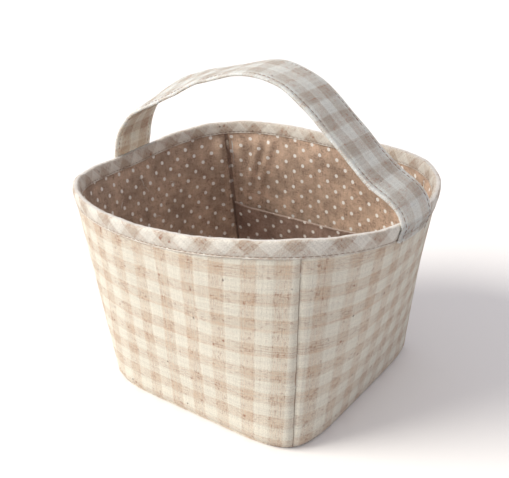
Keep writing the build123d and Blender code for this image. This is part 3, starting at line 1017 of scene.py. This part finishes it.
def strap_points(across, lift, count=STRAP_ROWS):
    """Points of the strap at offsets across it, lifted by a distance from its middle."""
    line, normal, even = strap_frame(count)
    share = even / even[-1]
    tilt = np.radians(np.interp(share, TILT_AT, TILT))[:, None]
    swing = np.interp(share, [0, 1], SWING)[:, None]
    y = across * np.cos(tilt) - lift * np.sin(tilt) + swing
    out = across * np.sin(tilt) + lift * np.cos(tilt)
    spot = line[:, None, :] + normal[:, None, :] * out[..., None]
    points = np.stack([spot[..., 0], y, spot[..., 1]], -1)
    for side, gap in (("left", even), ("right", even[-1] - even)):
        near = np.clip(1.2 - gap / (20 * MM), 0, 1)[:, None]
        here = radians(SIDES[side])
        turn = here + np.arcsin(y / RIM_REACH) * (1 if side == "right" else -1)
        points[..., 2] += near * (rim_height(turn) - rim_height(here))
        points[..., 0] += near * (wall(turn, rim_height(turn), np.zeros_like(y))[..., 0]
                                  - wall(np.array(here), rim_height(here), 0.0)[0])
    return points, even


def strap_profile():
    """Half the strap's section: offset across and half thickness, pinched at the stitching."""
    y = np.array([-17.25, -17.15, -16.8, -16.2, -15.4, -14.7, -14.25, -13.8, -13.0, -11.5, -9, -5,
                  0, 5, 9, 11.5, 13.0, 13.8, 14.25, 14.7, 15.4, 16.2, 16.8, 17.15, 17.25]) * MM
    h = np.array([0, 0.45, 0.8, 0.98, 1.0, 0.88, 0.72, 0.9, 1.1, 1.2, 1.25, 1.25, 1.25, 1.25, 1.25,
                  1.2, 1.1, 0.9, 0.72, 0.88, 1.0, 0.98, 0.8, 0.45, 0]) * MM
    return y, h


def strap():
    """The whole strap as one closed tube of cloth, flattened and capped at both ends."""
    y, h = strap_profile()
    loop_y = np.concatenate([y, y[-2:0:-1]])
    loop_h = np.concatenate([h, -h[-2:0:-1]])
    _, _, even = strap_frame()
    edge_wave = 0.55 * MM * ripple(even[:, None], loop_y[None] * 3, 31, 30 * MM)
    across = np.repeat(loop_y[None], STRAP_ROWS, 0) + edge_wave * np.sign(loop_y)[None]
    ends = np.minimum(even, even[-1] - even)[:, None]
    loop_h = loop_h[None] * (0.62 + 0.38 * np.clip((ends - 10 * MM) / (12 * MM), 0, 1))
    quilt = 1 + 0.10 * ripple(even[:, None], loop_y[None], 33, 12 * MM)
    sag = 0.6 * MM * ripple(even[:, None], loop_y[None], 35, 40 * MM)
    lift = loop_h * quilt + sag * np.clip(ends / (20 * MM) - 0.5, 0, 1)
    points, even = strap_points(across, lift)
    rows, cols = points.shape[:2]
    i, j = np.meshgrid(np.arange(rows - 1), np.arange(cols), indexing="ij")
    nxt = (j + 1) % cols
    quads = np.stack([i * cols + j, (i + 1) * cols + j, (i + 1) * cols + nxt, i * cols + nxt],
                     -1).reshape(-1, 4).tolist()
    half = len(y)
    for row in (0, rows - 1):
        for k in range(half - 1):
            under = [(cols - k) % cols, cols - k - 1]
            quads.append([row * cols + k, row * cols + k + 1, row * cols + under[1],
                          row * cols + under[0]])
    quads = [q if len(set(q)) == 4 else list(dict.fromkeys(q)) for q in quads]
    uv = np.stack(np.broadcast_arrays(loop_y[None], even[:, None]), -1).reshape(-1, 2)
    return new_piece("handle_strap", points.reshape(-1, 3), quads, uv,
                     gingham_material("Strap gingham", (0, 3 * MM),
                                      white=(0.70, 0.725, 0.695, 1), beige=(0.395, 0.35, 0.295, 1),
                                      check=(16.5 * MM, 18 * MM)))


handle = strap()
# Linen lets some light through, so the strap isn't dark on the side away from the key light.
strap_shader = handle.data.materials[0].node_tree.nodes["Principled BSDF"]
strap_shader.inputs["Subsurface Weight"].default_value = 0.75
strap_shader.inputs["Subsurface Radius"].default_value = (0.008, 0.0068, 0.0058)
strap_shader.inputs["Subsurface Scale"].default_value = 1.0
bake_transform(handle)
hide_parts("handle_sleeve", "handle_core", "handle_end_left", "handle_end_right",
            "handle_end_core_left", "handle_end_core_right")
strap_length = float(strap_frame()[2][-1])
print("strap length", round(strap_length, 3))

# %% [markdown]
# ## Stitches
# A machine stitch is short, a little plump, and evenly spaced: the same small thing hundreds
# of times along a path, which is what Geometry Nodes are for.  The tree samples the path at
# the stitch pitch, stands one stitch on each point along the path, varies it slightly from a
# fixed seed, and realizes the result so that it can be kept as a plain mesh.

# %% Running stitch tree
def spots_along(tree, start):
    """Points along the path, one pitch apart."""
    curve = put(tree, "GeometryNodeMeshToCurve", {"Mesh": start.outputs["Path"]})
    return put(tree, "GeometryNodeCurveToPoints", {"Curve": curve.outputs[0],
                                                   "Length": start.outputs["Pitch"]},
               mode="LENGTH")


def stitch_tree():
    tree, start, end = new_group(
        "Running stitch", GEOMETRY,
        [("Path", SHAPE, None), ("Pitch", FLOAT, 0.0032), ("Stitch", FLOAT, 0.0025),
         ("Thread", FLOAT, 0.0004), ("Seed", WHOLE, 4), ("Material", FINISH, None)],
        [("Stitches", SHAPE)])
    spots = spots_along(tree, start)
    ball = put(tree, "GeometryNodeMeshUVSphere", {"Segments": 8, "Rings": 6, "Radius": 0.5})
    facing = put(tree, "FunctionNodeAlignRotationToVector", {"Vector": spots.outputs["Tangent"]},
                 axis="X")
    wobble = put(tree, "FunctionNodeRandomValue", {}, data_type="FLOAT")
    wobble.inputs[2].default_value, wobble.inputs[3].default_value = 0.9, 1.08
    tree.links.new(start.outputs["Seed"], wobble.inputs["Seed"])
    size = put(tree, "ShaderNodeCombineXYZ", {0: start.outputs["Stitch"],
                                              1: start.outputs["Thread"],
                                              2: start.outputs["Thread"]})
    scaled = put(tree, "ShaderNodeVectorMath", {0: size.outputs[0]}, operation="SCALE")
    tree.links.new(wobble.outputs[1], scaled.inputs["Scale"])
    many = put(tree, "GeometryNodeInstanceOnPoints", {
        "Points": spots.outputs["Points"], "Instance": ball.outputs["Mesh"],
        "Rotation": facing.outputs[0], "Scale": scaled.outputs[0]})
    real = put(tree, "GeometryNodeRealizeInstances", {"Geometry": many.outputs[0]})
    rounded = put(tree, "GeometryNodeSetShadeSmooth", {"Geometry": real.outputs[0]})
    dressed = put(tree, "GeometryNodeSetMaterial", {"Geometry": rounded.outputs[0],
                                                    "Material": start.outputs["Material"]})
    tree.links.new(dressed.outputs[0], end.inputs[0])
    return tree


STITCHES = stitch_tree()


def path_mesh(name, paths):
    """Polylines, each an array of points; a path that ends where it starts is closed."""
    verts, edges = [], []
    for path in paths:
        first = len(verts)
        closed = np.linalg.norm(path[0] - path[-1]) < 1e-6
        spots = path[:-1] if closed else path
        verts += [tuple(p) for p in spots]
        edges += [(first + k, first + k + 1) for k in range(len(spots) - 1)]
        if closed:
            edges.append((len(verts) - 1, first))
    mesh = bpy.data.meshes.new(name)
    mesh.from_pydata(verts, edges, [])
    return mesh


def run_tree(name, paths, tree, values):
    """Run a tree along the paths and keep its result as one plain mesh."""
    source = stand(name + "_path", path_mesh(name + "_path", paths))
    modifier = source.modifiers.new("nodes", "NODES")
    modifier.node_group = tree
    for socket in tree.interface.items_tree:
        if socket.in_out == "INPUT" and socket.name in values:
            modifier[socket.identifier] = values[socket.name]
    ready = source.evaluated_get(bpy.context.evaluated_depsgraph_get())
    mesh = bpy.data.meshes.new_from_object(ready)
    bpy.data.objects.remove(source, do_unlink=True)
    print(name, len(mesh.polygons), "faces")
    return stand(name, mesh)


def sew(name, paths, material, pitch=0.0032, stitch=0.0025, thread=0.00034, seed=4):
    return run_tree(name, paths, STITCHES, {"Pitch": pitch, "Stitch": stitch, "Thread": thread,
                                            "Seed": seed, "Material": material})


# %% Binding and seam stitches
def round_rim(drop, depth, low_z=None, count=721):
    """A closed path round the bin, below the rim or at one height, in millimetres."""
    theta = np.linspace(0, 2 * pi, count)
    z = rim_height(theta) - drop * MM if low_z is None else np.full(count, low_z * MM)
    ring = wall(theta, z, np.full(count, depth * MM))
    ring[-1] = ring[0]
    return ring


def corner_lines(depth, low_z, drop, count=40):
    """The four corner seams as paths, in millimetres."""
    lines = []
    for side in SIDES.values():
        corner = radians(side + 45)
        z = np.linspace(low_z * MM, float(rim_height(corner)) - drop * MM, count)
        lines.append(wall(np.full(count, corner), z, np.full(count, depth * MM)))
    return lines


def sew_on_bin(name, paths, material, node, **sizes):
    on_bin(sew(name, paths, material, **sizes), "thread", node)


sew_on_bin("binding_stitches_outside", [round_rim(STITCH_DROP, -0.5)], SEWING,
           "binding_stitch_outer")
sew_on_bin("binding_stitches_inside", [round_rim(7.3, W + 0.48)], SEAM_THREAD,
           "binding_stitch_inner")
sew_on_bin("corner_seam_stitches", corner_lines(1.35, 2.0, 13.0), SEAM_THREAD,
           "corner_seam_threads", pitch=0.0022, stitch=0.0021)
for name, paths, node in (
        ("lining_seam_stitches", corner_lines(1.9, 5.0, 10.5), "lining_seam_threads"),
        ("base_seam_stitches", [round_rim(0, 2.0, 0.5)], "base_seam_thread"),
        ("lining_base_stitches", [round_rim(0, W + 0.1, 4.4)], "lining_base_seam_thread")):
    sew_on_bin(name, paths, SEAM_THREAD, node, pitch=0.0024, stitch=0.0022)

# %% Strap stitches
TOPSTITCH = 14.25             # millimetres off the strap's middle line
END_DROP = 5.5 * MM           # the row across each sewn end, below the rim


def strap_rows(offsets, lift):
    """Paths along the strap at offsets across it, lifted off its middle, in millimetres."""
    across = np.repeat(np.asarray(offsets)[None] * MM, FINE_ROWS, 0)
    return strap_points(across, np.full(across.shape, lift * MM), FINE_ROWS)[0]


for name, offset, node in (("strap_stitches_near", -TOPSTITCH, "handle_topstitch_near"),
                           ("strap_stitches_far", TOPSTITCH, "handle_topstitch_far")):
    lines = [strap_rows([offset], lift)[:, 0] for lift in (0.8, -0.8)]
    piece = sew(name, lines, SEAM_THREAD, seed=8)
    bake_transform(piece)
    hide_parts(node)

for side, sign in (("left", -1), ("right", 1)):
    line, _, _ = strap_frame(FINE_ROWS)
    end_z = float(rim_height(radians(SIDES[side]))) - END_DROP
    near = np.argmin(np.abs(line[:, 1] - end_z) + (line[:, 0] * sign < 0))
    row = strap_rows(np.linspace(-14.0, 14.0, 30), 1.28)[near]
    sew_on_bin("end_stitches_" + side, [row], SEWING, "handle_end_stitch_" + side)

# %% [markdown]
# ## Fuzz and lint
# Washed linen is hairy along a fold and sheds lint.  Short hairs are scattered on the top of
# the binding by a second tree: a point about every millimetre, each with a bent hair turned
# and sized at random from a fixed seed, so the rim catches the light as a soft line.  A
# particle system would also grow them, but this result is a plain mesh straight away.  Lint is
# a few curled threads lying in the lining, made by the stitch tree with tiny stitches.

# %% Hair tree
def hair_shape():
    """One bent three-sided hair, one metre tall before it is sized."""
    rows = []
    for k in range(5):
        t = k / 4
        spread = 0.5 * (1 - 0.75 * t)
        centre = np.array([0.35 * t * t, 0.0, t])
        rows.append([centre + (spread * 0.05 * cos(q), spread * 0.05 * sin(q), 0)
                     for q in (0, 2 * pi / 3, 4 * pi / 3)])
    verts = [tuple(p) for row in rows for p in row]
    quads = [(3 * r + c, 3 * r + (c + 1) % 3, 3 * r + 3 + (c + 1) % 3, 3 * r + 3 + c)
             for r in range(4) for c in range(3)]
    mesh = bpy.data.meshes.new("hair")
    mesh.from_pydata(verts, [], quads + [(2, 1, 0), (12, 13, 14)])
    return stand("hair", mesh)


def hair_tree():
    tree, start, end = new_group(
        "Loose hairs", GEOMETRY,
        [("Path", SHAPE, None), ("Pitch", FLOAT, 0.0008), ("Length", FLOAT, 0.0012),
         ("Hair", "NodeSocketObject", None), ("Seed", WHOLE, 3), ("Material", FINISH, None)],
        [("Hairs", SHAPE)])
    spots = spots_along(tree, start)
    jitter = put(tree, "FunctionNodeRandomValue", {}, data_type="FLOAT_VECTOR")
    jitter.inputs[0].default_value = (-0.0009, -0.0009, -0.0003)
    jitter.inputs[1].default_value = (0.0009, 0.0009, 0.0001)
    moved = put(tree, "GeometryNodeSetPosition", {"Geometry": spots.outputs["Points"],
                                                  "Offset": jitter.outputs[0]})
    turn = put(tree, "FunctionNodeRandomValue", {}, data_type="FLOAT_VECTOR")
    turn.inputs[0].default_value = (-1.3, -1.3, 0.0)
    turn.inputs[1].default_value = (1.3, 1.3, 6.28)
    size = put(tree, "FunctionNodeRandomValue", {}, data_type="FLOAT")
    size.inputs[2].default_value, size.inputs[3].default_value = 0.4, 1.5
    for node in (jitter, turn, size):
        tree.links.new(start.outputs["Seed"], node.inputs["Seed"])
    scale = calc(tree, "MULTIPLY", size.outputs[1], start.outputs["Length"])
    hair = put(tree, "GeometryNodeObjectInfo", {"Object": start.outputs["Hair"]})
    many = put(tree, "GeometryNodeInstanceOnPoints", {
        "Points": moved.outputs[0], "Instance": hair.outputs["Geometry"],
        "Rotation": turn.outputs[0], "Scale": scale})
    real = put(tree, "GeometryNodeRealizeInstances", {"Geometry": many.outputs[0]})
    dressed = put(tree, "GeometryNodeSetMaterial", {"Geometry": real.outputs[0],
                                                    "Material": start.outputs["Material"]})
    tree.links.new(dressed.outputs[0], end.inputs[0])
    return tree


HAIRS = hair_tree()
FUZZ = thread_material("Linen fuzz", (0.85, 0.82, 0.76, 1))
hair = hair_shape()
grow = run_tree("rim_fuzz", [round_rim(0.1, W * k) for k in (0.1, 0.5, 0.9)], HAIRS,
                {"Pitch": 0.0011, "Length": 0.0011, "Hair": hair, "Seed": 5, "Material": FUZZ})
bpy.data.objects.remove(hair, do_unlink=True)
on_bin(grow, "bias_gingham")

# %% Lint
def lint_paths(side, count, seed):
    """Short curled threads lying loose on the face of a lining wall."""
    rng = np.random.default_rng(seed)
    paths, bends = [], np.linspace(0, 1, 16)
    for _ in range(count):
        first = radians(SIDES[side]) + rng.uniform(-0.45, 0.5)
        start_z, heading = rng.uniform(70, 112) * MM, rng.uniform(0, pi)
        length, curl = rng.uniform(4, 9) * MM, rng.uniform(-1.8, 1.8)
        way = heading + curl * bends
        angle = first + np.cumsum(np.cos(way)) * length / len(bends) / RIM_HALF[0]
        z = start_z + np.cumsum(np.sin(way)) * length / len(bends)
        paths.append(wall(angle, z, thickness(angle, z) + 1.0 * MM))
    return paths


lint = sew("lint", lint_paths("left", 8, 21), FUZZ, pitch=0.0005, stitch=0.0009, thread=0.0003)
on_bin(lint, "dotted_lining")

# %% [markdown]
# ## Light, floor and camera
# One large soft sun from the front left lights the front wall and the inside of the back wall.
# Plain pale surroundings fill the shade, so there is no second lamp to balance.  The floor and
# the surroundings look paler to the camera than to the bin: a Light Path node sets both, so
# the backdrop stays light without washing out the cloth.

# %% Studio
KEY_AZIMUTH, KEY_ELEVATION, KEY_SOFTNESS = -45, 33, 35      # degrees
SHADE_LIGHT, SEEN_LIGHT = 0.61, 0.95                        # surroundings


def direction(azimuth, elevation):
    """From the bin towards a lamp or the camera; azimuth 0 is straight in front."""
    a, e = radians(azimuth), radians(elevation)
    return Vector((sin(a) * cos(e), -cos(a) * cos(e), sin(e)))


sun = bpy.data.lights.new("Key", "SUN")
sun.angle, sun.energy, sun.color = radians(KEY_SOFTNESS), 3.45, (1.0, 0.955, 0.865)
key = stand("Key", sun)
key.location = Vector((0, 0, 0.08)) + direction(KEY_AZIMUTH, KEY_ELEVATION)
key.rotation_euler = direction(KEY_AZIMUTH, KEY_ELEVATION).to_track_quat("Z", "Y").to_euler()

world = bpy.data.worlds.new("Pale surroundings")
bpy.context.scene.world = world
world.use_nodes = True
sky = world.node_tree.nodes["Background"]
sky.inputs[0].default_value = (1.0, 0.96, 0.985, 1)
seen = put(world.node_tree, "ShaderNodeLightPath").outputs["Is Camera Ray"]
world.node_tree.links.new(ramp(world.node_tree, seen, 0, 1, SHADE_LIGHT, SEEN_LIGHT),
                           sky.inputs[1])

floor_mesh = bpy.data.meshes.new("floor")
floor_mesh.from_pydata([(x, y, 0) for x, y in ((-30, -30), (30, -30), (30, 30), (-30, 30))],
                       [], [(0, 1, 2, 3)])
floor = stand("floor", floor_mesh)
floor_material, floor_tree, floor_shader = new_material("Pale floor")
seen = put(floor_tree, "ShaderNodeLightPath").outputs["Is Camera Ray"]
pale = blend_colour(floor_tree, seen, (0.60, 0.60, 0.61, 1), (0.97, 0.97, 0.98, 1))
floor_tree.links.new(pale, floor_shader.inputs["Base Color"])
floor_shader.inputs["Roughness"].default_value = 0.9
floor_mesh.materials.append(floor_material)
floor.location.z = -0.0005
print("light", sun.name, "floor", floor_material.name)

# %% Camera
CAMERA_AZIMUTH, CAMERA_ELEVATION, CAMERA_ROLL = 37.14, 23.85, -1.94
CAMERA_TARGET, CAMERA_DISTANCE, CAMERA_LENS = Vector((-0.0333, 0.0369, 0.064)), 0.511, 52.15
roll = radians(CAMERA_ROLL)
back = direction(CAMERA_AZIMUTH, CAMERA_ELEVATION)
level = Vector((0, 0, 1)).cross(back).normalized()
upright = back.cross(level)
right = cos(roll) * level + sin(roll) * upright
above = -sin(roll) * level + cos(roll) * upright
camera_data = bpy.data.cameras.new("Camera")
camera_data.sensor_fit, camera_data.sensor_width = "HORIZONTAL", 36.0
camera_data.lens = CAMERA_LENS
camera_data.clip_start = 0.01
camera = bpy.data.objects.new("Camera", camera_data)
spot = CAMERA_TARGET + back * CAMERA_DISTANCE
camera.matrix_world = Matrix((
    (right.x, above.x, back.x, spot.x), (right.y, above.y, back.y, spot.y),
    (right.z, above.z, back.z, spot.z), (0, 0, 0, 1)))
bpy.context.scene.collection.objects.link(camera)
bpy.context.scene.camera = camera
bpy.context.scene.view_settings.view_transform = "Standard"
print("camera at", tuple(round(v, 3) for v in spot))

# %% Update the scene
bpy.context.view_layer.update()
